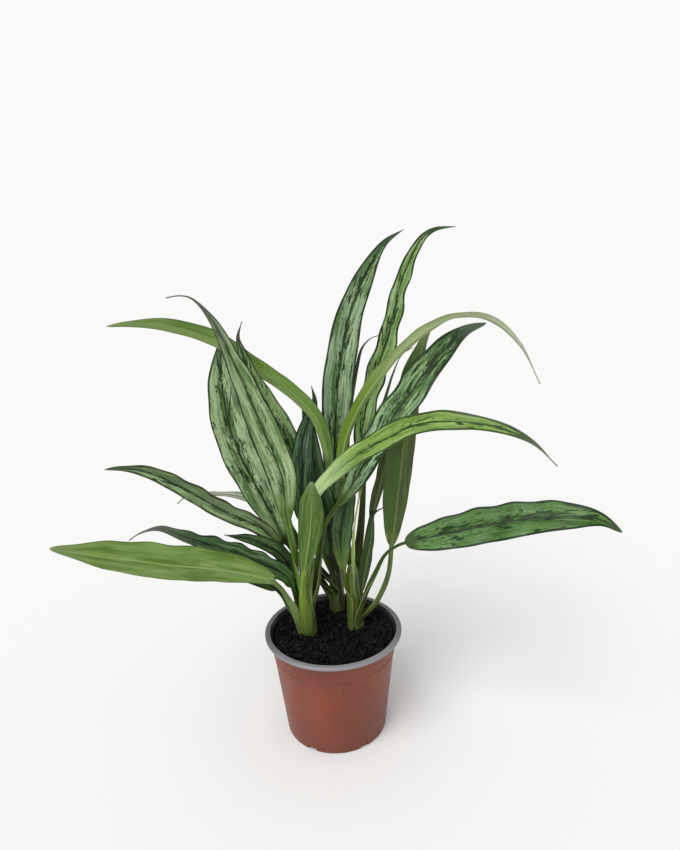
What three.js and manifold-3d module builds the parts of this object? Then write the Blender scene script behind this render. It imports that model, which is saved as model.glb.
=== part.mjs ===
// Potted chinese evergreen with narrow, silver-marked leaves, in a plain nursery pot.
// Millimetres, +Z up. The origin is the centre of the pot's base, +X is to the right and -Y is the front.

import * as THREE from 'three'
import { mergeVertices } from 'three/addons/utils/BufferGeometryUtils.js'
import Module from 'manifold-3d'

const wasm = await Module()
wasm.setup()

// Driving dimensions of the pot
const potHeight = 93
const potRimRadius = 60
const potNeckRadius = 55 // outside, just under the rim lip
const potMouthRadius = 55.4 // inside, at the top of the lip
const potBaseRadius = 44.4
const potWall = 1.4
const potFloor = 2
const lipHeight = 3
const lipRound = 1
const footChamfer = 1.5
const ringDrop = 16 // moulded ring below the lip
const ringHeight = 1.2
const ringProud = 0.35
const potSides = 48
const notchCount = 6
const notchWidth = 8
const notchHeight = 3
const notchDepth = 4

// Driving dimensions of the soil
const soilLevel = 86.5
const soilRelief = 1.3 // half the height between the deepest hollow and the highest lump
const broadWave = { alongX: 0.21, alongY: 0.26, shift: 1.3 } // the soil's lumps, in radians per mm
const smallWave = { alongX: 0.4, alongY: 0.55 }
const soilRings = 9
const soilSides = 36
const gap = 0.3 // clearance between neighbouring solids

// Driving dimensions of the shoots
const shootFoot = 60 // height of the buried end
const shootFootRadius = 9
const shootTopRadius = 6
const shootRidges = 3
const shootRidgeDepth = 0.08 // as a share of the shoot's radius
const shootTwist = 5 // radians that the ridges wind from foot to top
const shootSides = 10
const shootRings = 8

// Driving dimensions of the leaves
const bladeThickness = 0.8
const usualFullness = 0.42 // how fast a blade widens from its stalk
const bladeFold = 0.18 // rise of the margins above the midrib, as a share of the half width
const bladeOpening = 0.1 // share of the blade over which the round stalk opens into it
const dripStart = 0.78 // share of the blade where the drawn-out tip begins
const dripEnd = 0.95
const dripNarrowing = 0.3
const waveCount = 5
const waveShift = 2 // the right margin's waves run ahead of the left's, in radians
const stalkRadius = 1.9
const sheathRadius = 3.2
const grooveShare = 0.6 // height of a stalk's groove above its axis, as a share of its radius
const flankShare = 0.45
const ribDepth = 0.9
const tipHalfWidth = 0.45
const stalkRings = 7
const bladeRings = 22
const endCrowding = 0.4 // how far the blade's rings crowd towards its two ends
const routeSteps = 400 // measuring steps along each leaf's route

const potColour = 0x8c503e
const soilColour = 0x1c1815
const shootColour = 0x6f8f3f
const bladeColour = 0x4f7a48
const paleColour = 0x8fae6c
const darkColour = 0x2f5138

const shoots = {
  left: { foot: [-23, 4], top: [-23, 3, 148] },
  right: { foot: [21, 10], top: [19, 12, 148] },
  back: { foot: [5, 38], top: [5, 43, 152] }
}

// Each leaf: the route of its middle line from the shoot to the tip, the length of its stalk, the width of
// its blade, the way its upper side faces at the blade's base and at its tip, how long its tip draws out
// (taper), and the height of the waves of its margins. A leaf may have its own fullness: the higher, the
// slower its blade widens from the stalk.
const leaves = {
  leaf_left_young: {
    route: [[-23, -3, 95], [-24, -6, 115], [-24, -9, 140], [-20, -13, 165], [-15, -20, 197],
      [-13, -28, 226], [-12, -33, 239]],
    stalk: 54, width: 20, facing: [[0, 0.95, 0.1], [0.1, 0.8, 0.5]], taper: 0.6, fullness: 0.85, wave: 0,
    colour: paleColour
  },
  leaf_left_front_arch: {
    route: [[-22, 3, 112], [-17, -1, 152], [-14, -5, 190], [-8, -9, 222], [7, -16, 240], [23, -24, 255],
      [42, -35, 269], [69, -54, 286], [107, -78, 290], [136, -94, 281], [153, -100, 264]],
    stalk: 92, width: 20, facing: [[-0.3, -0.6, 0.7], [-0.2, -0.8, 0.6]], taper: 1.2, fullness: 0.75,
    wave: 0.8, colour: paleColour
  },
  leaf_left_light: {
    route: [[-24, 1, 122], [-28, -7, 158], [-34, -13, 204], [-36, -16, 238], [-48, -21, 280],
      [-63, -33, 328], [-76, -48, 366], [-87, -56, 381], [-94, -60, 383], [-102, -64, 382]],
    stalk: 80, width: 24, facing: [[0.2, -1, 0.3], [0.3, -0.8, 0.5]], taper: 1.5, fullness: 0.6, wave: 0.6,
    colour: paleColour
  },
  leaf_left_inner: {
    route: [[-23, 8, 132], [-24, 16, 168], [-25, 22, 213], [-30, 27, 250], [-46, 26, 286], [-59, 24, 313],
      [-66, 22, 337], [-68, 22, 347], [-64, 22, 360]],
    stalk: 90, width: 20, facing: [[0.2, -1, 0.3], [0.3, -1, 0.3]], taper: 1, wave: 0.6,
    colour: bladeColour
  },
  leaf_left_broad_low: {
    route: [[-29, 0, 93], [-35, -8, 120], [-43, -15, 141], [-52, -24, 154], [-82, -44, 174],
      [-112, -62, 188], [-147, -80, 204], [-188, -96, 221]],
    stalk: 62, width: 31, facing: [[0, 1, 0.05], [0, 1, 0.1]], taper: 0.58, fullness: 0.55, wave: 0.4,
    colour: paleColour
  },
  leaf_left_dark_low: {
    route: [[-25, 3, 97], [-31, -2, 125], [-37, -7, 146], [-56, -17, 164], [-84, -28, 184],
      [-109, -38, 199], [-128, -46, 211], [-141, -52, 211], [-149, -56, 207]],
    stalk: 40, width: 17, facing: [[0, -0.6, 0.8], [0, -0.7, 0.7]], taper: 1.1, wave: 0.8,
    colour: darkColour
  },
  leaf_left_narrow: {
    route: [[-26, 6, 110], [-34, 11, 146], [-43, 9, 167], [-58, 4, 187], [-85, -8, 208], [-116, -20, 235],
      [-136, -28, 250], [-155, -36, 257], [-166, -40, 258]],
    stalk: 56, width: 15, facing: [[0, -0.8, 0.6], [0, -0.8, 0.6]], taper: 0.6, wave: 1,
    colour: bladeColour
  },
  leaf_left_small: {
    route: [[-26, 4, 107], [-33, 3, 142], [-41, 0, 163], [-51, -4, 174], [-66, -7, 182], [-87, -9, 188]],
    stalk: 36, width: 13, facing: [[0, -0.7, 0.7], [0, -0.7, 0.7]], taper: 0.85, wave: 0.4,
    colour: darkColour
  },
  leaf_left_behind: {
    route: [[-27, 5, 90], [-36, 4, 109], [-41, 1, 122], [-47, -1, 132], [-56, -1, 139], [-78, 6, 147],
      [-114, 12, 155], [-145, 16, 160]],
    stalk: 48, width: 15, facing: [[0, -0.7, 0.7], [0, -0.7, 0.7]], taper: 0.85, wave: 0.5,
    colour: darkColour
  },
  leaf_left_upright: {
    route: [[-22, 5, 140], [-22, 7, 176], [-22, 9, 213], [-21, 13, 239], [-19, 22, 257], [-14, 31, 273],
      [-8, 36, 288], [-10, 39, 302]],
    stalk: 50, width: 18, facing: [[0, -1, 0.1], [0.2, -1, 0.1]], taper: 0.85, wave: 0.5, colour: darkColour
  },
  leaf_left_crossing: {
    route: [[-19, 7, 108], [-13, 7, 130], [-8, 5, 170], [-2, 4, 190], [6, 4, 202], [21, 6, 221], [39, 8, 252],
      [68, 14, 291], [95, 15, 326], [117, 13, 346], [134, 11, 352]],
    stalk: 102, width: 27, facing: [[-0.3, -1, 0.3], [-0.3, -0.8, 0.5]], taper: 0.62, fullness: 0.6,
    wave: 0.7, colour: bladeColour
  },
  leaf_right_upright: {
    route: [[22, 10, 92], [39, 6, 112], [50, 2, 142], [53, 2, 167], [57, 5, 193], [63, 14, 230],
      [69, 24, 267], [79, 34, 309], [88, 40, 336], [95, 42, 349]],
    stalk: 84, width: 30, facing: [[-0.4, 0.9, 0.2], [-0.4, 0.9, 0.2]], taper: 0.62, fullness: 0.5, wave: 0.5,
    colour: bladeColour
  },
  leaf_right_low: {
    route: [[22, 6, 91], [29, -1, 121], [38, -5, 145], [46, -9, 163], [53, -11, 170], [62, -15, 176],
      [89, -26, 186], [133, -42, 201], [171, -58, 211], [200, -68, 211], [215, -72, 202]],
    stalk: 100, width: 29, facing: [[0, -0.8, 0.6], [0, -0.75, 0.65]], taper: 0.62, wave: 1.1,
    colour: bladeColour
  },
  leaf_right_arch: {
    route: [[19, 11, 136], [15, 17, 172], [13, 25, 212], [15, 28, 248], [28, 27, 281], [50, 18, 315],
      [76, 10, 342], [105, -4, 359], [129, -18, 357], [148, -30, 339], [162, -38, 309]],
    stalk: 74, width: 16.5, facing: [[-0.7, 0.7, 0.2], [-0.2, 0.6, 0.8]], taper: 1.25, fullness: 0.65,
    wave: 0.4, colour: paleColour
  },
  leaf_right_wavy: {
    route: [[20, 13, 126], [29, 35, 171], [33, 41, 215], [34, 49, 259], [46, 54, 304], [60, 57, 342],
      [66, 59, 366], [74, 60, 392], [90, 63, 422], [102, 64, 430], [120, 64, 432]],
    stalk: 94, width: 17.5, facing: [[0, -1, 0.2], [0.2, -1, 0.2]], taper: 0.75, fullness: 0.45, wave: 1.6,
    colour: bladeColour
  },
  leaf_right_drip: {
    route: [[20, 9, 114], [20, 0, 148], [21, 1, 182], [27, 6, 212], [32, 14, 232], [43, 30, 262],
      [54, 40, 288], [62, 44, 310], [70, 46, 325], [80, 48, 331]],
    stalk: 98, width: 4, facing: [[0, -1, 0.2], [0, -1, 0.2]], taper: 1, wave: 0.3, colour: darkColour
  },
  leaf_right_curled: {
    route: [[21, 12, 96], [26, 12, 120], [31, 14, 143], [36, 16, 168], [40, 21, 188], [49, 23, 194]],
    stalk: 24, width: 13, facing: [[-0.4, 0.8, 0.3], [-0.3, 0.6, 0.5]], taper: 0.85, wave: 0.4,
    colour: darkColour
  },
  leaf_right_slim: {
    route: [[20, 12, 106], [27, 20, 128], [32, 24, 158], [40, 30, 189], [48, 34, 215], [54, 38, 237],
      [62, 42, 263], [69, 45, 290]],
    stalk: 82, width: 10, facing: [[-0.2, 1, 0.2], [-0.2, 1, 0.2]], taper: 0.85, wave: 0.3,
    colour: darkColour
  },
  leaf_right_short: {
    route: [[19, 10, 107], [12, 9, 135], [10, 9, 162], [12, 10, 189], [17, 12, 210], [25, 16, 226]],
    stalk: 34, width: 19, facing: [[0, -1, 0.2], [0, -1, 0.2]], taper: 0.7, fullness: 0.8, wave: 0.4,
    colour: darkColour
  },
  leaf_back_tall: {
    route: [[5, 42, 144], [5, 48, 184], [7, 52, 221], [10, 56, 267], [16, 59, 317], [26, 61, 360],
      [42, 62, 396], [58, 63, 420], [75, 64, 431]],
    stalk: 36, width: 28, facing: [[0.1, -1, 0.1], [0.1, -1, 0.1]], taper: 0.9, fullness: 0.75, wave: 0.5,
    colour: bladeColour
  },
  leaf_back_green: {
    route: [[4, 41, 120], [-6, 35, 152], [-4, 30, 184], [1, 26, 214], [2, 22, 242], [-6, 18, 276],
      [-28, 26, 301], [-57, 35, 321], [-89, 38, 345], [-129, 34, 359], [-161, 30, 361], [-175, 28, 360]],
    stalk: 112, width: 15.5, facing: [[0.3, 0.8, 0.5], [0.1, 1, 0.1]], taper: 0.55, fullness: 0.5, wave: 0.4,
    colour: paleColour
  },
  leaf_back_broad: {
    route: [[4, 40, 102], [-18, 38, 128], [-37, 38, 155], [-50, 40, 182], [-67, 43, 218], [-82, 46, 257],
      [-88, 48, 291], [-89, 49, 322], [-85, 50, 346]],
    stalk: 68, width: 31, facing: [[0.1, -1, 0.2], [0.1, -1, 0.2]], taper: 0.6, fullness: 0.6,
    wave: 0.6, colour: bladeColour
  },
  leaf_back_middle: {
    route: [[4, 42, 112], [-19, 45, 138], [-34, 46, 166], [-48, 50, 197], [-64, 56, 234], [-76, 60, 265],
      [-82, 62, 293], [-76, 63, 320]],
    stalk: 78, width: 24, facing: [[0.1, -1, 0.2], [0.1, -1, 0.2]], taper: 0.7, wave: 0.5,
    colour: bladeColour
  },
  leaf_back_thin: {
    route: [[5, 43, 132], [15, 56, 190], [20, 64, 246], [25, 67, 283], [31, 69, 310], [37, 70, 330],
      [45, 71, 338], [55, 72, 341]],
    stalk: 82, width: 5, facing: [[0, -1, 0.1], [0, -1, 0.1]], taper: 0.85, wave: 0.3, colour: darkColour
  },
  leaf_back_pale: {
    route: [[3, 43, 90], [-15, 50, 122], [-34, 54, 153], [-53, 60, 180], [-78, 63, 194], [-99, 62, 199],
      [-119, 58, 201], [-131, 54, 201], [-139, 52, 195]],
    stalk: 66, width: 12, facing: [[0, -0.4, 0.9], [0, -0.4, 0.9]], taper: 1.2, wave: 0.2, colour: paleColour
  },
  leaf_back_dark: {
    route: [[4, 40, 106], [2, 28, 122], [2, 23, 142], [1, 21, 165], [-2, 19, 194], [-10, 20, 226],
      [-12, 30, 250], [-16, 39, 274], [-20, 44, 296]],
    stalk: 42, width: 20, facing: [[0.2, -1, 0.2], [0, -1, 0.4]], taper: 0.85, wave: 0.3, colour: darkColour
  }
}

function smoothStep(from, to, value) {
  const k = THREE.MathUtils.clamp((value - from) / (to - from), 0, 1)
  return k * k * (3 - 2 * k)
}

// A closed surface from rings of points, with a list of triangles that close both ends.
// leansBack says for each strip of the ring which way its squares are split.
function ringBody(rings, leansBack, endFaces) {
  const count = rings[0].length
  const positions = rings.flat().flatMap((point) => [point.x, point.y, point.z])
  const faces = []
  for (let i = 0; i < rings.length - 1; i++) {
    for (let j = 0; j < count; j++) {
      const a = i * count + j
      const b = i * count + (j + 1) % count
      const c = a + count
      const d = b + count
      if (leansBack(j)) faces.push(a, b, d, a, d, c)
      else faces.push(a, b, c, b, d, c)
    }
  }
  const last = (rings.length - 1) * count
  for (const [a, b, c] of endFaces) {
    faces.push(a, c, b)
    faces.push(last + a, last + b, last + c)
  }
  const geometry = new THREE.BufferGeometry()
  geometry.setAttribute('position', new THREE.Float32BufferAttribute(positions, 3))
  geometry.setIndex(faces)
  return geometry
}

function toManifold(geometry) {
  const bare = geometry.clone()
  bare.deleteAttribute('normal')
  bare.deleteAttribute('uv')
  const merged = mergeVertices(bare, 1e-4)
  return new wasm.Manifold(new wasm.Mesh({
    numProp: 3,
    vertProperties: new Float32Array(merged.attributes.position.array),
    triVerts: new Uint32Array(merged.index.array)
  }))
}

function toGeometry(solid) {
  const mesh = solid.getMesh()
  const geometry = new THREE.BufferGeometry()
  geometry.setAttribute('position', new THREE.Float32BufferAttribute(mesh.vertProperties, 3))
  geometry.setIndex(Array.from(mesh.triVerts))
  return geometry
}

function largestPiece(solid) {
  const pieces = solid.decompose()
  return pieces.reduce((best, piece) => (piece.volume() > best.volume() ? piece : best))
}

// Pot: a lathe of its wall, floor, lip and ring, with the drainage notches cut out of its foot.
function outerRadius(z) {
  const share = (z - footChamfer) / (potHeight - lipHeight - footChamfer)
  return THREE.MathUtils.lerp(potBaseRadius, potNeckRadius, THREE.MathUtils.clamp(share, 0, 1))
}

function potGeometry() {
  const neck = potHeight - lipHeight
  const ring = neck - ringDrop
  const footCorner = footChamfer * (1 - Math.SQRT1_2)
  const profile = [
    [0, 0],
    [potBaseRadius - footChamfer, 0],
    [potBaseRadius - footCorner, footCorner],
    [potBaseRadius, footChamfer],
    [outerRadius(ring - ringHeight), ring - ringHeight],
    [outerRadius(ring) + ringProud, ring - ringHeight / 2],
    [outerRadius(ring), ring],
    [potNeckRadius, neck],
    [potRimRadius - lipRound, neck],
    [potRimRadius, neck + lipRound],
    [potRimRadius, potHeight - lipRound],
    [potRimRadius - lipRound, potHeight],
    [potMouthRadius, potHeight],
    [potNeckRadius - potWall, neck],
    [potBaseRadius - potWall, potFloor],
    [0, potFloor]
  ]
  const lathe = new THREE.LatheGeometry(profile.map(([x, y]) => new THREE.Vector2(x, y)), potSides)
  lathe.rotateX(Math.PI / 2)
  let pot = toManifold(lathe)
  for (let i = 0; i < notchCount; i++) {
    const notch = new THREE.BoxGeometry(2 * notchDepth, notchWidth, 2 * notchHeight)
    notch.translate(potBaseRadius, 0, 0)
    notch.rotateZ(i * 2 * Math.PI / notchCount)
    pot = pot.subtract(toManifold(notch))
  }
  return toGeometry(pot)
}

// Soil: fills the pot to soilLevel; its top is raised in broad and small lumps by two waves.
function soilHeight(x, y) {
  const broad = Math.sin(broadWave.alongX * x + broadWave.shift) * Math.cos(broadWave.alongY * y)
  const small = Math.sin(smallWave.alongY * y - smallWave.alongX * x)
  return soilLevel + soilRelief * (2 * broad + small) / 3
}

function soilGeometry() {
  const neck = potHeight - lipHeight
  const innerRadius = (z) => THREE.MathUtils.mapLinear(
    z, potFloor, neck, potBaseRadius - potWall, potNeckRadius - potWall) - gap
  const floor = potFloor + gap
  const positions = [0, 0, floor, 0, 0, soilHeight(0, 0)]
  const faces = []
  const rows = [{ radius: innerRadius(floor), z: () => floor }]
  for (let r = soilRings; r >= 1; r--) {
    rows.push({ radius: innerRadius(soilLevel - soilRelief) * r / soilRings, z: soilHeight })
  }
  for (const row of rows) {
    for (let i = 0; i < soilSides; i++) {
      const angle = i * 2 * Math.PI / soilSides
      const x = row.radius * Math.cos(angle)
      const y = row.radius * Math.sin(angle)
      positions.push(x, y, row.z(x, y))
    }
  }
  for (let i = 0; i < soilSides; i++) {
    const next = (i + 1) % soilSides
    faces.push(0, 2 + next, 2 + i)
    for (let r = 0; r < rows.length - 1; r++) {
      const a = 2 + r * soilSides + i
      const b = 2 + r * soilSides + next
      faces.push(a, b, b + soilSides, a, b + soilSides, a + soilSides)
    }
    const lastRow = 2 + (rows.length - 1) * soilSides
    faces.push(1, lastRow + i, lastRow + next)
  }
  const geometry = new THREE.BufferGeometry()
  geometry.setAttribute('position', new THREE.Float32BufferAttribute(positions, 3))
  geometry.setIndex(faces)
  return geometry
}

// Shoot: a cane wrapped in sheaths, a tapering column with soft ridges that wind up it.
// A positive extra makes it that much larger all round, for the clearance of its neighbours.
function shootGeometry(shoot, extra) {
  const foot = new THREE.Vector3(...shoot.foot, shootFoot)
  const top = new THREE.Vector3(...shoot.top)
  const rings = []
  for (let i = 0; i < shootRings; i++) {
    const k = i / (shootRings - 1)
    const centre = foot.clone().lerp(top, k)
    if (i === 0) centre.z -= extra
    if (i === shootRings - 1) centre.z += extra
    const ring = []
    for (let j = 0; j < shootSides; j++) {
      const angle = j * 2 * Math.PI / shootSides
      const ridge = 1 + shootRidgeDepth * Math.cos(shootRidges * angle + shootTwist * k)
      const radius = THREE.MathUtils.lerp(shootFootRadius, shootTopRadius, k) * ridge + extra
      ring.push(new THREE.Vector3(
        centre.x + radius * Math.cos(angle),
        centre.y + radius * Math.sin(angle),
        centre.z))
    }
    rings.push(ring)
  }
  const fan = []
  for (let j = 1; j < shootSides - 1; j++) fan.push([0, j, j + 1])
  return ringBody(rings, () => false, fan)
}

// Leaf: six-point sections along its route, a round stalk that opens into a folded blade.
function bladeOutline(t, taper, fullness) {
  const widest = fullness / (fullness + taper)
  const rise = Math.pow(Math.max(t, 1e-6) / widest, fullness)
  const fall = Math.pow(Math.max(1 - t, 1e-6) / (1 - widest), taper)
  return rise * fall * (1 - dripNarrowing * smoothStep(dripStart, dripEnd, t))
}

function leafGeometry(leaf) {
  const points = leaf.route.map((p) => new THREE.Vector3(...p))
  const curve = new THREE.CatmullRomCurve3(points, false, 'centripetal')
  curve.arcLengthDivisions = routeSteps
  const length = curve.getLength()
  const stalkShare = leaf.stalk / length
  const shares = []
  for (let i = 0; i < stalkRings; i++) shares.push(stalkShare * i / stalkRings)
  for (let i = 0; i <= bladeRings; i++) {
    const even = i / bladeRings
    const crowded = (1 - Math.cos(Math.PI * even)) / 2
    shares.push(stalkShare + (1 - stalkShare) * THREE.MathUtils.lerp(even, crowded, endCrowding))
  }
  const facingBase = new THREE.Vector3(...leaf.facing[0]).normalize()
  const facingTip = new THREE.Vector3(...leaf.facing[1]).normalize()
  const rings = shares.map((share) => {
    const point = curve.getPointAt(share)
    const forward = curve.getTangentAt(share)
    const t = THREE.MathUtils.clamp((share - stalkShare) / (1 - stalkShare), 0, 1)
    const up = facingBase.clone().lerp(facingTip, t)
    up.addScaledVector(forward, -up.dot(forward)).normalize()
    const side = new THREE.Vector3().crossVectors(forward, up)
    const sheath = Math.pow(1 - Math.min(share / stalkShare, 1), 2)
    const radius = THREE.MathUtils.lerp(stalkRadius, sheathRadius, sheath)
    const blade = smoothStep(0, bladeOpening, t)
    const outline = leaf.width / 2 * bladeOutline(t, leaf.taper, leaf.fullness ?? usualFullness)
    const half = Math.max(Math.hypot(outline, radius * (1 - t)), tipHalfWidth)
    const envelope = Math.sin(Math.PI * t) * leaf.wave
    const rippleLeft = envelope * Math.sin(waveCount * 2 * Math.PI * t)
    const rippleRight = envelope * Math.sin(waveCount * 2 * Math.PI * t + waveShift)
    const lift = bladeFold * half * blade
    const rib = ribDepth * (1 - t) * blade
    const topEdge = flankShare * radius * (1 - blade)
    const bottomEdge = -topEdge - bladeThickness * blade
    const topMiddle = grooveShare * radius * (1 - blade)
    const bottomMiddle = -radius * (1 - blade) - bladeThickness * blade - rib
    const at = (across, above) => point.clone().addScaledVector(side, across).addScaledVector(up, above)
    return [
      at(-half, topEdge + lift + rippleLeft),
      at(0, topMiddle),
      at(half, topEdge + lift + rippleRight),
      at(half, bottomEdge + lift + rippleRight),
      at(0, bottomMiddle),
      at(-half, bottomEdge + lift + rippleLeft)
    ]
  })
  const ends = [[0, 1, 4], [0, 4, 5], [1, 2, 3], [1, 3, 4]]
  return ringBody(rings, (strip) => strip === 3 || strip === 4, ends)
}

const plant = new THREE.Group()

function addPiece(name, geometry, colour, roughness) {
  geometry.computeVertexNormals()
  const material = new THREE.MeshStandardMaterial({ color: colour, roughness, metalness: 0 })
  const mesh = new THREE.Mesh(geometry, material)
  mesh.name = name
  plant.add(mesh)
}

addPiece('pot', potGeometry(), potColour, 0.5)

let soil = toManifold(soilGeometry())
const shootClearances = []
for (const [name, shoot] of Object.entries(shoots)) {
  const clearance = toManifold(shootGeometry(shoot, gap))
  shootClearances.push(clearance)
  soil = soil.subtract(clearance)
  addPiece(`shoot_${name}`, shootGeometry(shoot, 0), shootColour, 0.5)
}
addPiece('soil', toGeometry(soil), soilColour, 0.95)

for (const [name, leaf] of Object.entries(leaves)) {
  let solid = toManifold(leafGeometry(leaf))
  for (const clearance of shootClearances) solid = solid.subtract(clearance)
  addPiece(name, toGeometry(largestPiece(solid)), leaf.colour, 0.4)
}

export default plant
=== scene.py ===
import math
import random

import bpy
import bmesh
import numpy as np
from mathutils import Matrix, Vector, noise


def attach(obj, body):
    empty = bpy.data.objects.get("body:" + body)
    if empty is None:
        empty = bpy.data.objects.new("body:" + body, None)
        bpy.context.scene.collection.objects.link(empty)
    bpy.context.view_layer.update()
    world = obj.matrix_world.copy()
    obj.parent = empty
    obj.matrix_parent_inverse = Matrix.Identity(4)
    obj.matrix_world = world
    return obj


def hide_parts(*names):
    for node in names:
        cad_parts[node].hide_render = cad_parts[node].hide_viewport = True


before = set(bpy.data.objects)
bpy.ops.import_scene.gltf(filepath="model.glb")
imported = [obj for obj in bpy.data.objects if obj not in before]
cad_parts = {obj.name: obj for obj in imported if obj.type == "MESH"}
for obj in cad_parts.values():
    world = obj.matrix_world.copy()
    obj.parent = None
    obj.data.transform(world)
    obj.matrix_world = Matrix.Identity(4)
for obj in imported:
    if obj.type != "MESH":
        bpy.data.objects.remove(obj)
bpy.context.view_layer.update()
mm = 0.001  # the plant's own sizes below are in millimetres
fullTurn = 2 * math.pi
print("frame loaded,", len(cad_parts), "nodes")

# camera, fitted to the rim and the foot of the pot
camera = {
    "eye": (0.0, -476.0, 386.0),
    "pitch": 13.1,
    "yaw": 1.5,
    "roll": 2.1,
    "focalPixels": 600.0,
    "longSidePixels": 850.0,
    "sensor": 36.0,
    "sight": 100.0,  # metres
}


def newObject(name, data):
    holder = bpy.data.objects.new(name, data)
    bpy.context.scene.collection.objects.link(holder)
    return holder


def makeCamera():
    data = bpy.data.cameras.new("plantCamera")
    data.sensor_width = camera["sensor"]
    data.lens = camera["sensor"] * camera["focalPixels"] / camera["longSidePixels"]
    data.clip_end = camera["sight"]
    pitch, yaw, roll = (math.radians(camera[angle]) for angle in ("pitch", "yaw", "roll"))
    ahead = Vector((math.sin(yaw) * math.cos(pitch), math.cos(yaw) * math.cos(pitch), -math.sin(pitch)))
    level = Vector((math.cos(yaw), -math.sin(yaw), 0.0))
    above = level.cross(ahead)
    sideways = level * math.cos(roll) - above * math.sin(roll)
    upwards = level * math.sin(roll) + above * math.cos(roll)
    turn = Matrix((sideways, upwards, -ahead)).transposed().to_4x4()
    holder = newObject("plantCamera", data)
    holder.matrix_world = Matrix.Translation(Vector(camera["eye"]) * mm) @ turn
    bpy.context.scene.camera = holder


makeCamera()
print("camera placed")

# paint and meshes


def tone(red, green, blue):  # a screen colour, 0 to 255, as a linear one
    linear = []
    for value in (red, green, blue):
        share = value / 255
        linear.append(share / 12.92 if share <= 0.04045 else ((share + 0.055) / 1.055) ** 2.4)
    return (*linear, 1.0)


class Paint:  # one material's nodes, and its colour as laid on so far
    def __init__(self, name, roughness, specular=0.5):
        self.material = bpy.data.materials.new(name)
        self.material.use_nodes = True
        self.tree = self.material.node_tree
        self.shader = self.tree.nodes["Principled BSDF"]
        self.feed(self.shader.inputs["Roughness"], roughness)
        self.feed(self.shader.inputs["Specular IOR Level"], specular)

    def feed(self, socket, value):  # a link where value is a node's output, a plain setting otherwise
        if isinstance(value, bpy.types.NodeSocket):
            self.tree.links.new(value, socket)
        else:
            socket.default_value = value

    def node(self, kind, *values, **named):  # values go to the first sockets, named ones to theirs
        node = self.tree.nodes.new("ShaderNode" + kind)
        for socket, value in zip(node.inputs, values):
            self.feed(socket, value)
        for name, value in named.items():
            self.feed(node.inputs[name], value)
        return node

    def calc(self, operation, *values):
        node = self.node("Math", *values)
        node.operation = operation
        return node.outputs[0]

    def times(self, value, factor):
        return self.calc("MULTIPLY", value, factor)

    def timesPlus(self, value, factor, more):
        return self.calc("MULTIPLY_ADD", value, factor, more)

    def minus(self, value, less):
        return self.calc("SUBTRACT", value, less)

    def ease(self, value, low, high):  # 0 at low, 1 at high, soft between; low may be the larger one
        node = self.node("MapRange", value, low, high)
        node.interpolation_type = "SMOOTHSTEP"
        return node.outputs[0]

    def blend(self, share, first, second):
        node = self.node("Mix", share)
        node.data_type = "RGBA"
        self.feed(node.inputs[6], first)  # the sockets of a colour mix
        self.feed(node.inputs[7], second)
        return node.outputs[2]

    def over(self, share, tint, cover):  # lays a tint over the colour so far
        self.colour = self.blend(self.times(share, cover), self.colour, tint)

    def coat(self, value, tint, low, high, cover):  # the same, where value goes from low to high
        self.over(self.ease(value, low, high), tint, cover)

    def vector(self, x, y, z):
        return self.node("CombineXYZ", x, y, z).outputs[0]

    def parts(self, source):
        return tuple(self.node("SeparateXYZ", source).outputs)

    def mottle(self, place, scale=1.0, detail=2.0, rough=0.5):
        return self.node("TexNoise", Vector=place, Scale=scale, Detail=detail, Roughness=rough).outputs["Fac"]

    def stored(self, name):
        node = self.node("Attribute")
        node.attribute_name = name
        return self.parts(node.outputs["Vector"])

    def spot(self):  # where a point lies, in metres
        return self.node("TexCoord").outputs["Object"]

    def finish(self, height, strength, distance):
        self.feed(self.shader.inputs["Base Color"], self.colour)
        relief = self.node("Bump", Strength=strength, Distance=distance, Height=height)
        self.feed(self.shader.inputs["Normal"], relief.outputs["Normal"])
        return self.material


def tubeFaces(rings, count):  # round a stack of rings, closed at both ends
    grid = np.arange(rings * count).reshape(rings, count)
    following = np.roll(grid, -1, axis=1)
    quads = np.stack([grid[:-1], following[:-1], following[1:], grid[1:]], -1).reshape(-1, 4).tolist()
    return quads + [grid[0, ::-1].tolist(), grid[-1].tolist()]


def newMesh(name, points, faces):
    mesh = bpy.data.meshes.new(name)
    mesh.from_pydata((points.reshape(-1, 3) * mm).tolist(), [], faces)
    mesh.polygons.foreach_set("use_smooth", [True] * len(faces))
    return mesh


def finishPiece(name, mesh, node):
    piece = newObject(name, mesh)
    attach(piece, "root")
    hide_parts(node)


# leaf skins: the variegated upper side and the plain underside

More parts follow.
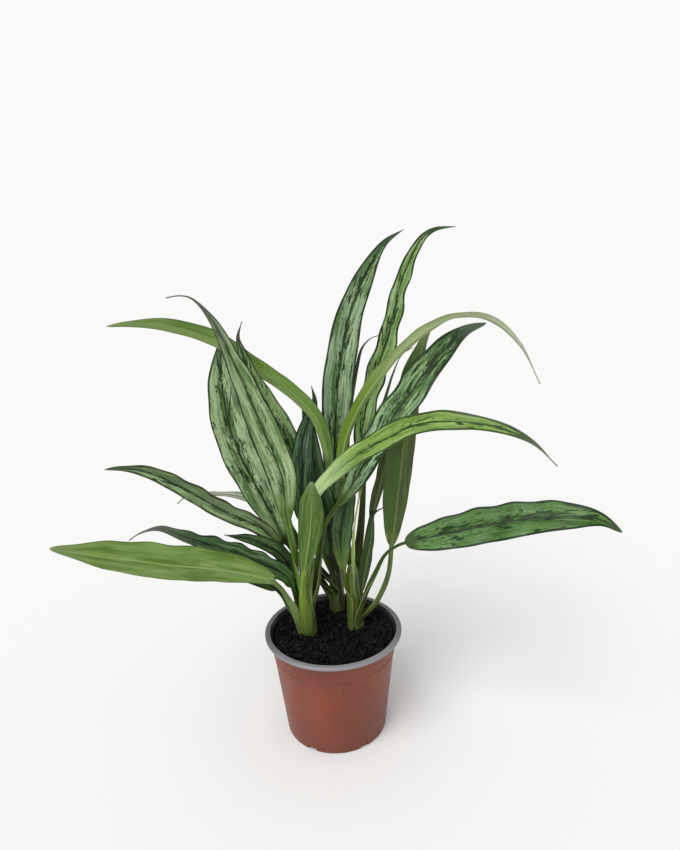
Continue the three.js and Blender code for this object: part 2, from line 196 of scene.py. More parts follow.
leafSkin = {
    "upperRoughness": 0.40,
    "underRoughness": 0.48,
    "specular": 0.2,
    "upperBump": (0.5, 0.0003),
    "underBump": (0.45, 0.0003),
    "fleckHeight": 0.4,
    "lineHeight": 0.9,
    # noise across and along the marks, in turns per mm, and its detail; marks lean towards the tip
    "fleck": (3.4, 0.10, 0.34, 2.2),
    "speck": (2.6, 0.26, 0.75, 2.0),
    "bands": (1.5, 0.022),  # noise in turns over half a blade's width, and in turns per mm along it
    "fineLines": (7.0, 0.035),
    "lineDetail": 2.5,
    "grain": 0.6,
    "stalkGrain": (0.8, 0.03),  # turns per mm across and along the stalk
    "stalkDetail": 3.0,
    "halfShift": 3.7,  # sets one half's noise apart from the other's
    "stray": (0.06, 0.14),
    "wobble": 9.0,  # mm that marks stray from their straight course
    "bandShift": 0.05,
    "bandEdge": (0.40, 0.60),
    "underBandEdge": (0.36, 0.64),
    "paleMiddle": (0.10, 0.45),  # shares of half a width over which a half grows paler, away from the midrib
    "paleLift": 0.10,
    "duskLength": 0.35,
    "duskCover": 0.85,
    "clusters": (0.045, 5.0),  # slow noise: turns per mm, and where in it the leaf starts
    "clusterShow": 0.35,
    "byMidrib": (0.6, 0.05),
    "byTip": (0.35, 0.85),
    "markLevel": 0.74,
    "markGain": 0.2,
    "fleckEdge": 0.04,
    "speckEdge": 0.05,
    "speckCover": 0.85,
    "markCover": 0.92,
    "ribNoise": (0.09, 0.0),
    "ribLeast": 0.22,
    "ribWidth": 2.4,
    "rimNoise": (0.06, 9.0),
    "rimWidth": 2.1,
    "tipCover": 0.85,
    "baseCover": 0.8,
    "underSeed": 40,
    "underRibTaper": (-0.5, 0.8),
    "stalkStreak": (0.36, 0.66),
    "sheathStart": (-0.2, -0.8),
    "sheathMargin": (0.86, 0.97),
    "marginCover": 0.6,
    "stalkEdge": tone(158, 174, 112),
    "stalkFoot": tone(80, 92, 44),
}

# the values at which a layer of a skin starts and is full, and how far it then covers what lies under it
leafLayers = {
    "paleLine": (0.50, 0.32, 1.0),
    "deepLine": (0.50, 0.68, 1.0),
    "dullHalf": (-0.02, 0.06, 0.55),
    "rib": (0.30, -0.20, 0.88),
    "rim": (0.20, -0.20, 0.94),
    "underPaleLine": (0.50, 0.30, 0.35),
    "underDeepLine": (0.50, 0.70, 0.45),
    "unevenlyLitHalf": (-0.02, 0.06, 0.75),
    "underBase": (0.56, 0.28, 1.0),
    "underRib": (0.3, -0.3, 1.0),
    "underRim": (0.9, 0.35, 0.7),
    "stalkFoot": (0.122, 0.088, 0.7),  # metres above the ground
    "blade": (0.25, 0.9, 1.0),
}


class LeafPaint(Paint):
    def __init__(self, name, roughness, look, seed):
        super().__init__(name, roughness, leafSkin["specular"])
        self.look = look
        self.share, self.t, self.kind = self.stored("place")
        self.across, self.along, self.edge = self.stored("lengths")
        self.away = self.calc("ABSOLUTE", self.across)
        self.spread = self.calc("ABSOLUTE", self.share)
        self.side = self.calc("SIGN", self.share)
        self.layer = self.timesPlus(self.side, leafSkin["halfShift"], float(seed))
        stray = self.mottle(self.noisePlace(self.along, self.away, *leafSkin["stray"]))
        self.course = self.timesPlus(self.minus(stray, 0.5), leafSkin["wobble"], self.along)

    def noisePlace(self, first, second, perFirst, perSecond):
        return self.vector(self.times(first, perFirst), self.times(second, perSecond), self.layer)

    def strokes(self, kind):  # noise drawn out into leaning strokes
        lean, acrossThem, alongThem, detail = leafSkin[kind]
        leaned = self.timesPlus(self.away, -lean, self.course)
        place = self.noisePlace(leaned, self.away, acrossThem, alongThem)
        return self.mottle(place, 1.0, detail, leafSkin["grain"])

    def lines(self, kind):  # noise drawn out along the blade, following its outline
        place = self.noisePlace(self.share, self.course, *leafSkin[kind])
        return self.mottle(place, 1.0, leafSkin["lineDetail"], leafSkin["grain"])

    def wander(self, kind):  # a slow noise along the leaf, different for each half
        perMm, shift = leafSkin[kind]
        return self.mottle(self.vector(self.timesPlus(self.along, perMm, shift), self.side, self.layer))

    def lay(self, layer, value, tint, strength=1.0):
        low, high, cover = leafLayers[layer]
        self.coat(value, tint, low, high, cover * strength)

    def layTip(self):
        self.coat(self.t, self.look["tip"], self.look["tipFrom"], 1.0, leafSkin["tipCover"])

    def layStalk(self):  # the stalk and the sheath, up to where the blade begins
        blade = self.colour
        place = self.noisePlace(self.across, self.along, *leafSkin["stalkGrain"])
        streak = self.ease(self.mottle(place, 1.0, leafSkin["stalkDetail"]), *leafSkin["stalkStreak"])
        self.colour = self.blend(streak, self.look["stalk"], self.look["stalkShade"])
        sheath = self.ease(self.kind, *leafSkin["sheathStart"])
        margin = self.times(sheath, self.ease(self.spread, *leafSkin["sheathMargin"]))
        self.over(margin, leafSkin["stalkEdge"], leafSkin["marginCover"])
        self.lay("stalkFoot", self.parts(self.spot())[2], leafSkin["stalkFoot"])
        self.lay("blade", self.kind, blade)


def upperSide(name, look, seed):
    paint = LeafPaint(name, leafSkin["upperRoughness"], look, seed)

    # bands and fine lines that run along the blade, pale between the midrib and the margin
    band = paint.calc("ADD", paint.lines("bands"), leafSkin["bandShift"])
    middle = paint.ease(paint.spread, *leafSkin["paleMiddle"])
    band = paint.timesPlus(middle, -leafSkin["paleLift"], band)
    paint.colour = paint.blend(paint.ease(band, *leafSkin["bandEdge"]), look["field"], look["shade"])
    if "duskTo" in look:  # darker from the middle of the blade on
        full = look["duskFrom"] + leafSkin["duskLength"]
        paint.coat(paint.t, look["duskTo"], look["duskFrom"], full, leafSkin["duskCover"])
    fine = paint.lines("fineLines")
    paint.lay("paleLine", fine, look["gleam"], look["lines"])
    paint.lay("deepLine", fine, look["line"], look["lines"])

    # dark flecks and specks, in clusters, more of them by the midrib and, where the look says so, the tip
    fleck = paint.strokes("fleck")
    crowd = paint.times(paint.minus(paint.wander("clusters"), 0.5), leafSkin["clusterShow"])
    crowd = paint.timesPlus(paint.ease(paint.spread, *leafSkin["byMidrib"]), look["crowd"], crowd)
    crowd = paint.timesPlus(paint.ease(paint.t, *leafSkin["byTip"]), look["tipFlecks"], crowd)
    level = leafSkin["markLevel"] - leafSkin["markGain"] * look["flecks"]
    flecks = paint.ease(paint.calc("ADD", fleck, crowd), level, level + leafSkin["fleckEdge"])
    specks = paint.calc("ADD", paint.strokes("speck"), crowd)
    specks = paint.times(paint.ease(specks, level, level + leafSkin["speckEdge"]), leafSkin["speckCover"])
    paint.over(paint.calc("MAXIMUM", flecks, specks), look["dark"], leafSkin["markCover"])
    if "dullHalf" in look:  # one half turned away from the light
        paint.lay("dullHalf", paint.share, look["shade"])

    # the midrib's thin dark line and a rim, each as wide as a slow noise lets it
    width = paint.minus(paint.wander("ribNoise"), leafSkin["ribLeast"])
    width = paint.times(width, leafSkin["ribWidth"] * look["rib"])
    paint.lay("rib", paint.minus(paint.away, width), look["dark"])
    width = paint.times(paint.wander("rimNoise"), leafSkin["rimWidth"] * look["margin"])
    paint.lay("rim", paint.minus(paint.edge, width), look["rim"])

    paint.layTip()
    paint.coat(paint.t, look["base"], look["baseReach"], 0.0, leafSkin["baseCover"])
    paint.layStalk()
    height = paint.timesPlus(fleck, leafSkin["fleckHeight"], paint.times(fine, leafSkin["lineHeight"]))
    return paint.finish(height, *leafSkin["upperBump"])


def underSide(name, look, seed):
    paint = LeafPaint(name, leafSkin["underRoughness"], look, seed + leafSkin["underSeed"])
    band = paint.ease(paint.lines("bands"), *leafSkin["underBandEdge"])
    paint.colour = paint.blend(band, look["under"], look["underShade"])
    fine = paint.lines("fineLines")
    paint.lay("underPaleLine", fine, look["underRib"])
    paint.lay("underDeepLine", fine, look["underShade"])
    if "unevenlyLitHalf" in look:  # one half another colour: painted light and shade, as the fold turns that half otherwise to the light
        paint.lay("unevenlyLitHalf", paint.share, look["unevenlyLitHalf"])
    if "underBase" in look:
        paint.lay("underBase", paint.t, look["underBase"])
    ribWidth = paint.timesPlus(paint.t, *leafSkin["underRibTaper"])
    paint.lay("underRib", paint.minus(paint.away, ribWidth), look["underRib"], look["ribShow"])
    paint.lay("underRim", paint.edge, look["rim"])
    paint.layTip()
    paint.layStalk()
    return paint.finish(fine, *leafSkin["underBump"])


# the looks that leaves share, in screen colours; a leaf's own entry changes what differs

silver = {
    "field": (132, 160, 110),
    "shade": (88, 120, 64),
    "gleam": (178, 198, 158),
    "line": (56, 90, 42),
    "dark": (18, 42, 12),
    "rim": (22, 44, 18),
    "tip": (70, 88, 62),
    "tipFrom": 0.84,
    "base": (112, 138, 74),
    "flecks": 0.5,
    "crowd": 0.08,
    "tipFlecks": 0.0,
    "baseReach": 0.16,
    "rib": 0.9,
    "ribShow": 0.7,
    "margin": 1.0,
    "lines": 0.6,
    "under": (122, 148, 86),
    "underShade": (92, 120, 60),
    "underRib": (164, 182, 124),
}
light = {
    **silver,
    "field": (122, 152, 72),
    "shade": (100, 132, 54),
    "gleam": (172, 198, 126),
    "line": (76, 108, 38),
    "dark": (40, 66, 16),
    "rim": (44, 64, 24),
    "tip": (132, 148, 100),
    # a whitish base: painted highlight
    "base": (214, 234, 180),
    "flecks": 0.3,
    "lines": 0.45,
    "under": (142, 168, 98),
}
green = {
    **silver,
    "under": (112, 142, 70),
    "underShade": (86, 114, 46),
    "underRib": (156, 178, 108),
    "rim": (74, 96, 40),
    "tip": (120, 138, 90),
}
# the silver look darkened, for leaves that lie in shade deep in the plant: painted shade over their own green
dark = {
    **silver,
    "field": (66, 98, 54),
    "shade": (40, 68, 32),
    "gleam": (112, 138, 96),
    "line": (26, 48, 20),
    "dark": (14, 32, 12),
    "rim": (16, 32, 14),
    "tip": (66, 80, 56),
    "base": (76, 104, 48),
    "flecks": 0.3,
    "under": (68, 94, 48),
    "underShade": (44, 68, 30),
    "underRib": (104, 128, 72),
}

shoots = {
    "left": {"foot": (-23, 4, 60), "top": (-23, 3, 148), "colour": (66, 92, 40), "shade": (34, 54, 24)},
    "right": {"foot": (21, 10, 60), "top": (19, 12, 148), "colour": (98, 120, 40), "shade": (48, 64, 24)},
    # the back shoot: its own brownish green, darkened as painted shade
    "back": {"foot": (5, 38, 60), "top": (5, 43, 152), "colour": (54, 64, 34), "shade": (30, 36, 20)},
}

# every leaf: the route of its middle line, its stalk's length, its blade's width, how its upper side faces at
# the blade's base and tip, and what else differs from leafForm
leaves = {
    "leaf_left_young": {
        "route": [(-23, -3, 95), (-24, -6, 115), (-24, -9, 140), (-20, -13, 165), (-15, -20, 197),
                  (-13, -28, 226), (-12, -33, 239)],
        "stalk": 54, "width": 20, "facing": [(0, 0.95, 0.1), (0.1, 0.8, 0.5)], "taper": 0.6, "wave": 0,
        "fullness": 0.85, "stalkRadius": 4.2, "sheathWrap": 32.0,
        "look": {**green, "under": (84, 112, 46), "underShade": (68, 96, 36), "ribShow": 0.35,
                 "stalk": (116, 144, 52), "stalkShade": (88, 116, 40)},
    },
    "leaf_left_front_arch": {
        "route": [(-22, 3, 112), (-17, -1, 152), (-14, -5, 190), (-8, -9, 222), (7, -16, 240),
                  (23, -24, 255), (42, -35, 269), (69, -54, 286), (107, -78, 290), (136, -94, 281),
                  (153, -100, 264)],
        "stalk": 92, "width": 20, "facing": [(-0.3, -0.6, 0.7), (-0.2, -0.8, 0.6)], "taper": 1.2,
        "wave": 0.8, "fullness": 0.75,
        # its whitish base and pale stalk are a painted highlight
        "look": {**light, "margin": 1.6, "flecks": 0.42, "tipFrom": 0.82, "tip": (116, 120, 104),
                 "baseReach": 0.34, "base": (206, 230, 170), "dark": (30, 54, 12),
                 "stalk": (150, 176, 104), "crowd": 0.12},
    },
    "leaf_left_light": {
        "route": [(-24, 1, 122), (-28, -7, 158), (-34, -13, 204), (-36, -16, 238), (-48, -21, 280),
                  (-63, -33, 328), (-76, -48, 366), (-87, -56, 381), (-94, -60, 383), (-102, -64, 382)],
        "stalk": 80, "width": 24, "facing": [(0.2, -1, 0.3), (0.3, -0.8, 0.5)], "taper": 1.5,
        "wave": 0.6, "fullness": 0.6, "stalkRadius": 4.4,
        "look": {**silver, "field": (151, 173, 126), "shade": (100, 130, 74), "dark": (36, 62, 20),
                 "flecks": 0.34, "lines": 0.7, "rib": 1.0, "tip": (110, 114, 104), "tipFrom": 0.62,
                 "stalk": (96, 124, 50), "stalkShade": (62, 88, 34)},
    },
    "leaf_left_inner": {
        "route": [(-23, 8, 132), (-24, 16, 168), (-25, 22, 213), (-30, 27, 250), (-46, 26, 286),
                  (-59, 24, 313), (-66, 22, 337), (-68, 22, 347), (-64, 22, 360)],
        "stalk": 90, "width": 20, "facing": [(0.2, -1, 0.3), (0.3, -1, 0.3)], "taper": 1.0, "wave": 0.6,
        "look": {**silver, "flecks": 0.66, "field": (126, 150, 96), "shade": (84, 112, 58),
                 "tip": (84, 86, 88), "tipFrom": 0.8},
    },
    "leaf_left_broad_low": {
        "route": [(-29, 0, 93), (-35, -8, 120), (-43, -15, 141), (-52, -24, 154), (-82, -44, 174),
                  (-112, -62, 188), (-147, -80, 204), (-188, -96, 221)],
        "stalk": 62, "width": 31, "facing": [(0, 1, 0.05), (0, 1, 0.1)], "taper": 0.58, "wave": 0.4,
        "fullness": 0.55, "stalkRadius": 2.5, "sheathWrap": 42.0,
        "look": {**green, "under": (118, 148, 75), "underShade": (84, 116, 38),
                 "underRib": (158, 182, 104), "stalk": (132, 154, 92), "stalkShade": (80, 106, 50)},
    },
    "leaf_left_dark_low": {
        "route": [(-25, 3, 97), (-31, -2, 125), (-37, -7, 146), (-56, -17, 164), (-84, -28, 184),
                  (-109, -38, 199), (-128, -46, 211), (-141, -52, 211), (-149, -56, 207)],
        "stalk": 40, "width": 17, "facing": [(0, -0.6, 0.8), (0, -0.7, 0.7)], "taper": 1.1, "wave": 0.8,
        "scallop": 0.1, "waves": 7,
        "look": {**dark, "field": (66, 102, 56), "tip": (112, 112, 106), "tipFrom": 0.58, "flecks": 0.4,
                 "gleam": (122, 146, 104), "lines": 0.7},
    },
    "leaf_left_narrow": {
        "route": [(-26, 6, 110), (-34, 11, 146), (-43, 9, 167), (-58, 4, 187), (-85, -8, 208),
                  (-116, -20, 235), (-136, -28, 250), (-155, -36, 257), (-166, -40, 258)],
        "stalk": 56, "width": 15, "facing": [(0, -0.8, 0.6)], "taper": 0.6, "wave": 1,
        "scallop": 0.06, "waves": 7,
        "look": {**silver, "flecks": 0.45, "margin": 1.5, "dullHalf": True, "shade": (92, 110, 74),
                 "rim": (52, 54, 34)},
    },
    "leaf_left_small": {
        "route": [(-26, 4, 107), (-33, 3, 142), (-41, 0, 163), (-51, -4, 174), (-66, -7, 182),
                  (-87, -9, 188)],
        "stalk": 36, "width": 13, "facing": [(0, -0.7, 0.7)], "wave": 0.4,
        "look": {**dark, "field": (62, 84, 42), "shade": (44, 64, 30)},
    },
    "leaf_left_behind": {
        "route": [(-27, 5, 90), (-36, 4, 109), (-41, 1, 122), (-47, -1, 132), (-56, -1, 139),
                  (-78, 6, 147), (-114, 12, 155), (-145, 16, 160)],
        "stalk": 48, "width": 15, "facing": [(0, -0.7, 0.7)],
        "look": dark,
    },
    "leaf_left_upright": {
        "route": [(-22, 5, 140), (-22, 7, 176), (-22, 9, 213), (-21, 13, 239), (-19, 22, 257),
                  (-14, 31, 273), (-8, 36, 288), (-10, 39, 302)],
        "stalk": 50, "width": 18, "facing": [(0, -1, 0.1), (0.2, -1, 0.1)], "stalkRadius": 3.8,
        # painted shade: this upper side lies in shade
        "look": {**dark, "field": (54, 84, 56), "shade": (34, 60, 38)},
    },
    "leaf_left_crossing": {
        "route": [(-19, 7, 108), (-13, 7, 130), (-8, 5, 170), (-2, 4, 190), (6, 4, 202), (21, 6, 221),
                  (39, 8, 252), (68, 14, 291), (95, 15, 326), (117, 13, 346), (134, 11, 352)],
        "stalk": 102, "width": 27, "facing": [(-0.3, -1, 0.3), (-0.3, -0.8, 0.5)], "taper": 0.62,
        "wave": 0.7, "fullness": 0.6, "scallop": 0.06, "sheathWrap": 80.0, "standOff": 1.0,
        "look": {**silver, "flecks": 0.58, "rib": 1.2, "margin": 1.9, "field": (140, 169, 134),
                 "lines": 0.75, "tipFlecks": 0.09, "duskFrom": 0.3, "gleam": (164, 190, 140),
                 "duskTo": (70, 106, 54), "stalk": (90, 112, 52), "stalkShade": (56, 74, 32)},
    },
    "leaf_right_upright": {
        "route": [(22, 10, 92), (39, 6, 112), (50, 2, 142), (53, 2, 167), (57, 5, 193), (63, 14, 230),
                  (69, 24, 267), (79, 34, 309), (88, 40, 336), (95, 42, 349)],
        "stalk": 84, "width": 30, "facing": [(-0.4, 0.9, 0.2)], "taper": 0.62, "fullness": 0.5,
        "look": {**green, "under": (72, 90, 34), "underShade": (54, 72, 30), "underRib": (124, 144, 78),
                 "rim": (52, 68, 30), "ribShow": 0.5, "unevenlyLitHalf": (66, 90, 38),
                 "stalk": (104, 120, 62), "stalkShade": (70, 86, 40)},
    },
    "leaf_right_low": {
        "route": [(22, 6, 91), (29, -1, 121), (38, -5, 145), (46, -9, 163), (53, -11, 170),
                  (62, -15, 176), (89, -26, 186), (133, -42, 201), (171, -58, 211), (200, -68, 211),
                  (215, -72, 202)],
        "stalk": 100, "width": 29, "facing": [(0, -0.8, 0.6), (0, -0.75, 0.65)], "taper": 0.62,
        "wave": 1.1, "scallop": 0.035, "waves": 6, "stalkRadius": 1.8,
        "look": {**silver, "flecks": 0.6, "rib": 1.0, "margin": 1.6, "field": (84, 120, 62),
                 "shade": (56, 88, 36), "gleam": (120, 154, 102), "base": (40, 70, 36),
                 "baseReach": 0.1, "tipFrom": 0.9, "stalk": (66, 88, 40), "stalkShade": (42, 60, 28)},
    },
    "leaf_right_arch": {
        "route": [(19, 11, 136), (15, 17, 172), (13, 25, 212), (15, 28, 248), (28, 27, 281),
                  (50, 18, 315), (76, 10, 342), (105, -4, 359), (129, -18, 357), (148, -30, 339),
                  (162, -38, 309)],
        "stalk": 74, "width": 16.5, "facing": [(-0.7, 0.7, 0.2), (-0.2, 0.6, 0.8)], "taper": 1.25,
        "wave": 0.4, "fullness": 0.65,
        # its pale grey tip colour, over the outer part of the arch, is a painted highlight
        "look": {**green, "under": (172, 192, 132), "underShade": (146, 168, 104), "rim": (98, 118, 60),
                 "underRib": (190, 206, 158), "tip": (158, 162, 146), "tipFrom": 0.45,
                 "underBase": (122, 154, 50), "stalk": (128, 152, 48)},
    },
    "leaf_right_wavy": {
        "route": [(20, 13, 126), (29, 35, 171), (33, 41, 215), (34, 49, 259), (46, 54, 304),
                  (60, 57, 342), (66, 59, 366), (74, 60, 392), (90, 63, 422), (102, 64, 430),
                  (120, 64, 432)],
        "stalk": 94, "width": 17.5, "facing": [(0, -1, 0.2), (0.2, -1, 0.2)], "taper": 0.75,
        "wave": 1.6, "fullness": 0.45, "scallop": 0.13, "waves": 8, "stalkRadius": 3.5,
        "look": {**silver, "field": (132, 162, 98), "shade": (98, 134, 62), "margin": 1.4,
                 "flecks": 0.52, "stalk": (76, 90, 44), "stalkShade": (52, 66, 32)},
    },
    "leaf_right_drip": {
        "route": [(20, 9, 114), (20, 0, 148), (21, 1, 182), (27, 6, 212), (32, 14, 232), (43, 30, 262),
                  (54, 40, 288), (62, 44, 310), (70, 46, 325), (80, 48, 331)],
        "stalk": 98, "width": 4, "facing": [(0, -1, 0.2)], "taper": 1.0, "wave": 0.3,
        "stalkRadius": 1.0, "sheathWrap": 20.0,
        "look": {**dark, "field": (92, 96, 88), "shade": (70, 76, 66), "margin": 0.2, "rib": 0.2,
                 "rim": (78, 82, 74), "tip": (104, 104, 102), "tipFrom": 0.7, "stalk": (160, 182, 112),
                 "stalkShade": (112, 138, 70)},
    },
    "leaf_right_curled": {
        "route": [(21, 12, 96), (26, 12, 120), (31, 14, 143), (36, 16, 168), (40, 21, 188),
                  (49, 23, 194)],
        "stalk": 24, "width": 13, "facing": [(-0.4, 0.8, 0.3), (-0.3, 0.6, 0.5)], "wave": 0.4,
        "look": {**dark, "field": (58, 74, 38), "shade": (40, 54, 26), "under": (58, 76, 38)},
    },
    "leaf_right_slim": {
        "route": [(20, 12, 106), (27, 20, 128), (32, 24, 158), (40, 30, 189), (48, 34, 215),
                  (54, 38, 237), (62, 42, 263), (69, 45, 290)],
        "stalk": 82, "width": 10, "facing": [(-0.2, 1, 0.2)], "wave": 0.3,
        "look": {**dark, "under": (94, 106, 60), "underShade": (70, 80, 44), "stalk": (66, 74, 42),
                 "stalkShade": (50, 58, 34)},
    },
    "leaf_right_short": {
        "route": [(19, 10, 107), (12, 9, 135), (10, 9, 162), (12, 10, 189), (17, 12, 210),
                  (25, 16, 226)],
        "stalk": 34, "width": 19, "facing": [(0, -1, 0.2)], "taper": 0.7, "wave": 0.4, "fullness": 0.8,
        "look": {**dark, "field": (76, 106, 60), "shade": (50, 78, 38), "base": (104, 130, 60),
                 "baseReach": 0.4},
    },
    "leaf_back_tall": {
        "route": [(5, 42, 144), (5, 48, 184), (7, 52, 221), (10, 56, 267), (16, 59, 317), (26, 61, 360),
                  (42, 62, 396), (58, 63, 420), (75, 64, 431)],
        "stalk": 36, "width": 28, "facing": [(0.1, -1, 0.1)], "taper": 0.9, "fullness": 0.75,
        "look": {**silver, "field": (133, 159, 123), "flecks": 0.56, "rib": 1.2, "margin": 1.7,
                 "lines": 0.75},
    },
    "leaf_back_green": {
        "route": [(4, 41, 120), (-6, 35, 152), (-4, 30, 184), (1, 26, 214), (2, 22, 242), (-6, 18, 276),
                  (-28, 26, 301), (-57, 35, 321), (-89, 38, 345), (-129, 34, 359), (-161, 30, 361),
                  (-175, 28, 360)],
        "stalk": 112, "width": 15.5, "facing": [(0.3, 0.8, 0.5), (0.1, 1, 0.1)], "taper": 0.55,
        "wave": 0.4, "fullness": 0.5, "stalkRadius": 3.6,
        "look": {**green, "under": (98, 130, 56), "underShade": (82, 112, 42), "ribShow": 0.25,
                 "unevenlyLitHalf": (132, 158, 90), "rim": (58, 74, 34),
                 "stalk": (96, 120, 56), "stalkShade": (66, 88, 40)},
    },
    "leaf_back_broad": {
        "route": [(4, 40, 102), (-18, 38, 128), (-37, 38, 155), (-50, 40, 182), (-67, 43, 218),
                  (-82, 46, 257), (-88, 48, 291), (-89, 49, 322), (-85, 50, 346)],
        "stalk": 68, "width": 31, "facing": [(0.1, -1, 0.2)], "taper": 0.6, "wave": 0.6,
        "fullness": 0.6, "stalkRadius": 3.8,
        "look": {**silver, "flecks": 0.62, "margin": 1.4, "rib": 1.2, "field": (148, 173, 126),
                 "shade": (90, 118, 70), "lines": 0.75},
    },
    "leaf_back_middle": {
        "route": [(4, 42, 112), (-19, 45, 138), (-34, 46, 166), (-48, 50, 197), (-64, 56, 234),
                  (-76, 60, 265), (-82, 62, 293), (-76, 63, 320)],
        "stalk": 78, "width": 24, "facing": [(0.1, -1, 0.2)], "taper": 0.7, "stalkRadius": 3.8,
        "look": {**silver, "flecks": 0.64, "rib": 1.2, "field": (112, 140, 90), "shade": (76, 104, 54)},
    },
    "leaf_back_thin": {
        "route": [(5, 43, 132), (15, 56, 190), (20, 64, 246), (25, 67, 283), (31, 69, 310),
                  (37, 70, 330), (45, 71, 338), (55, 72, 341)],
        "stalk": 82, "width": 5, "facing": [(0, -1, 0.1)], "wave": 0.3,
        "look": {**dark, "field": (112, 114, 102), "shade": (84, 88, 74), "tipFrom": 0.5, "margin": 0.2,
                 "rib": 0.2, "rim": (92, 94, 84)},
    },
    "leaf_back_pale": {
        "route": [(3, 43, 90), (-15, 50, 122), (-34, 54, 153), (-53, 60, 180), (-78, 63, 194),
                  (-99, 62, 199), (-119, 58, 201), (-131, 54, 201), (-139, 52, 195)],
        "stalk": 66, "width": 12, "facing": [(0, -0.4, 0.9)], "taper": 1.2, "wave": 0.2,
        "look": {**dark, "field": (172, 178, 160), "shade": (146, 154, 132), "rim": (96, 104, 84),
                 "gleam": (196, 200, 186), "line": (128, 138, 112), "flecks": 0.0, "rib": 0.3},
    },
    "leaf_back_dark": {
        "route": [(4, 40, 106), (2, 28, 122), (2, 23, 142), (1, 21, 165), (-2, 19, 194), (-10, 20, 226),
                  (-12, 30, 250), (-16, 39, 274), (-20, 44, 296)],
        "stalk": 42, "width": 20, "facing": [(0.2, -1, 0.2), (0, -1, 0.4)], "wave": 0.3,
        "look": dark,
    },
}

shootForm = {
    "footRadius": 8.2,
    "topRadius": 5.0,
    "sheathStep": 0.17,  # each sheath lies this much further out than the one under it
    "ridges": 3,
    "ridgeDepth": 0.06,
    "twist": 5.0,
    "closeFrom": 0.86,  # share of the height at which the top starts to close
    "closeLeast": 0.02,
    "firstSeed": 60,
    "sides": 48,
    "rings": 50,
    "roughness": 0.42,
    "streakScale": (700.0, 700.0, 40.0),  # turns per metre
    "streakDetail": 3.0,
    "streak": (0.36, 0.66),
    "footTint": (tone(84, 76, 44), 0.104, 0.086, 0.55),  # from and to these metres of height, and cover
    "bump": (0.5, 0.0004),
}

leafForm = {
    "taper": 0.85,
    "fullness": 0.42,
    "wave": 0.5,
    "waves": 5,
    "waveShift": 2.0,
    "scallop": 0.03,  # how far the margins' waves widen and narrow a blade, as a share of its half width
    "columns": 23,  # points across each side of a leaf
    "stalkRings": 30,
    "tailRings": 12,
    "bladeRings": 110,
    "lineStep": (0.8, 6.0, 0.6),  # mm that the line's direction spans, below and above a share of the stalk
    "fold": 0.18,
    "foldSoftness": 0.1,
    "opening": 0.1,
    "dripStart": 0.78,
    "dripEnd": 0.95,
    "dripNarrowing": 0.3,
    "stalkRadius": 2.9,
    "stalkThinning": 0.3,  # how much a stalk thins out from foot to blade
    "stalkCrown": 0.55,
    "stalkChannel": (0.35, 0.3),  # depth and half width, as shares of the stalk's radius
    "sheathFoot": 80.0,  # height at which the sheaths start, under the soil's top
    "sheathTail": 62.0,
    "sheathShare": 0.8,  # how much of the stalk is an open channel
    "leastSheath": 30.0,
    "sheathWrap": 60.0,  # degrees each way round the shoot
    "sheathWall": 0.8,
    "sheathThinning": 0.65,
    "sheathTaper": 1.3,
    "sheathTurn": 100.0,  # most degrees that a stalk twists between shoot and blade
    "turnSpan": (0.1, 0.95),
    "backAt": 38.0,  # mm up the leaf: where it lies from the shoot there, its back faces
    "gathering": 20.0,  # mm below the route's start over which a sheath centres on its shoot
    "channelFrom": 0.35,
    "insetFrom": 0.5,
    "standOff": 0.0,
    "ribDepth": 0.9,
    "ribWidth": 1.0,
    "tipHalfWidth": 0.4,
    "edgeThickness": 0.25,
    "middleThickness": 0.7,
    "thicknessFall": 1.5,
    "camber": 0.05,  # each half bulges a little between midrib and margin
    "quilt": 0.13,  # dents between the side veins
    "quiltEvery": 6.5,
    "quiltLean": 4.2,
    "quiltDrift": (17.0, 1.2),
    "quiltShift": 1.7,
    "quiltFullness": 0.7,
    "frill": 0.25,  # small uneven waves of the margins
    "frillLengths": (4.1, 9.3),
    "groove": 0.3,
    "grooveWidth": 0.8,
}


def smooth(low, high, value):
    share = np.clip((value - low) / (high - low), 0, 1)
    return share * share * (3 - 2 * share)


def between(first, second, share):
    return first + (second - first) * share


def unit(vectors):
    return vectors / np.linalg.norm(vectors, axis=-1, keepdims=True)


def turnAbout(vectors, axes, angles):
    c, s = np.cos(angles)[:, None], np.sin(angles)[:, None]
    onAxes = np.sum(vectors * axes, axis=1, keepdims=True) * axes
    return vectors * c + np.cross(axes, vectors) * s + onAxes * (1 - c)


def routeCurve(points, steps=160):  # centripetal curve through the points, and the length run at each sample
    knots = np.array(points, float)
    knots = np.vstack([2 * knots[0] - knots[1], knots, 2 * knots[-1] - knots[-2]])
    samples = []
    for i in range(len(points) - 1):
        p0, p1, p2, p3 = knots[i:i + 4]
        d0, d1, d2 = (math.sqrt(np.linalg.norm(b - a)) for a, b in ((p0, p1), (p1, p2), (p2, p3)))
        start = ((p1 - p0) / d0 - (p2 - p0) / (d0 + d1) + (p2 - p1) / d1) * d1
        end = ((p2 - p1) / d1 - (p3 - p1) / (d1 + d2) + (p3 - p2) / d2) * d1
        last = i == len(points) - 2
        k = np.linspace(0, 1, steps + 1 if last else steps, endpoint=last)[:, None]
        bend = 3 * (p2 - p1) - 2 * start - end
        twist = 2 * (p1 - p2) + start + end
        samples.append(p1 + start * k + bend * k**2 + twist * k**3)
    curve = np.vstack(samples)
    run = np.concatenate([[0], np.cumsum(np.linalg.norm(np.diff(curve, axis=0), axis=1))])
    return curve, run


def ends(shoot):
    foot, top = (np.array(shoot[end], float) for end in ("foot", "top"))
    return foot, top, unit(top - foot)


